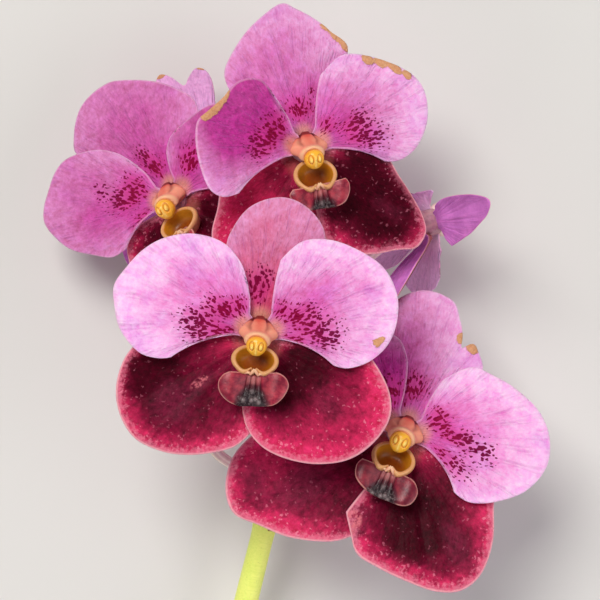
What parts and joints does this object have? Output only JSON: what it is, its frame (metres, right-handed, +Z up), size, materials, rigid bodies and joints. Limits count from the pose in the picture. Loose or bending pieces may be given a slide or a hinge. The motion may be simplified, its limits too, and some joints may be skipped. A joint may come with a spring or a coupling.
{
  "type": "cut orchid flower spray",
  "caption": "Cut orchid spray lying on its back: a green stem with stalked flat blooms of broad pink petals, dark lower sepals, cupped lip and column.",
  "frame": {"origin": "on the surface the spray lies on, under the middle of its bounding box", "axes": "+Y along the stem from its cut end to its tip, +Z up from the surface, +X to the right seen from above"},
  "size_m": [0.1712, 0.2858, 0.089],
  "materials": {
    "stem_green": "satin",
    "pedicel_blush": "satin",
    "petal_pink": "satin",
    "sepal_crimson": "satin",
    "lip_bronze": "satin",
    "column_peach": "satin",
    "cap_gold": "satin"
  },
  "bodies": {
    "root": {"flower_stem": "stem_green", "centre_dorsal_sepal": "petal_pink", "centre_left_petal": "petal_pink", "centre_right_petal": "petal_pink", "centre_left_sepal": "sepal_crimson", "centre_right_sepal": "sepal_crimson", "centre_lip": "lip_bronze", "centre_column": "column_peach", "centre_anther_cap": "cap_gold", "centre_pedicel": "pedicel_blush", "upper_dorsal_sepal": "petal_pink", "upper_left_petal": "petal_pink", "upper_right_petal": "petal_pink", "upper_left_sepal": "sepal_crimson", "upper_right_sepal": "sepal_crimson", "upper_lip": "lip_bronze", "upper_column": "column_peach", "upper_anther_cap": "cap_gold", "upper_pedicel": "pedicel_blush", "lower_dorsal_sepal": "petal_pink", "lower_left_petal": "petal_pink", "lower_right_petal": "petal_pink", "lower_left_sepal": "sepal_crimson", "lower_right_sepal": "sepal_crimson", "lower_lip": "lip_bronze", "lower_column": "column_peach", "lower_anther_cap": "cap_gold", "lower_pedicel": "pedicel_blush", "left_dorsal_sepal": "petal_pink", "left_left_petal": "petal_pink", "left_right_petal": "petal_pink", "left_left_sepal": "sepal_crimson", "left_right_sepal": "sepal_crimson", "left_lip": "lip_bronze", "left_column": "column_peach", "left_anther_cap": "cap_gold", "left_pedicel": "pedicel_blush", "rear_right_dorsal_sepal": "petal_pink", "rear_right_left_petal": "petal_pink", "rear_right_right_petal": "petal_pink", "rear_right_left_sepal": "sepal_crimson", "rear_right_right_sepal": "sepal_crimson", "rear_right_lip": "lip_bronze", "rear_right_column": "column_peach", "rear_right_anther_cap": "cap_gold", "rear_right_pedicel": "pedicel_blush", "rear_left_dorsal_sepal": "petal_pink", "rear_left_left_petal": "petal_pink", "rear_left_right_petal": "petal_pink", "rear_left_left_sepal": "sepal_crimson", "rear_left_right_sepal": "sepal_crimson", "rear_left_lip": "lip_bronze", "rear_left_column": "column_peach", "rear_left_anther_cap": "cap_gold", "rear_left_pedicel": "pedicel_blush"}
  },
  "joints": []
}
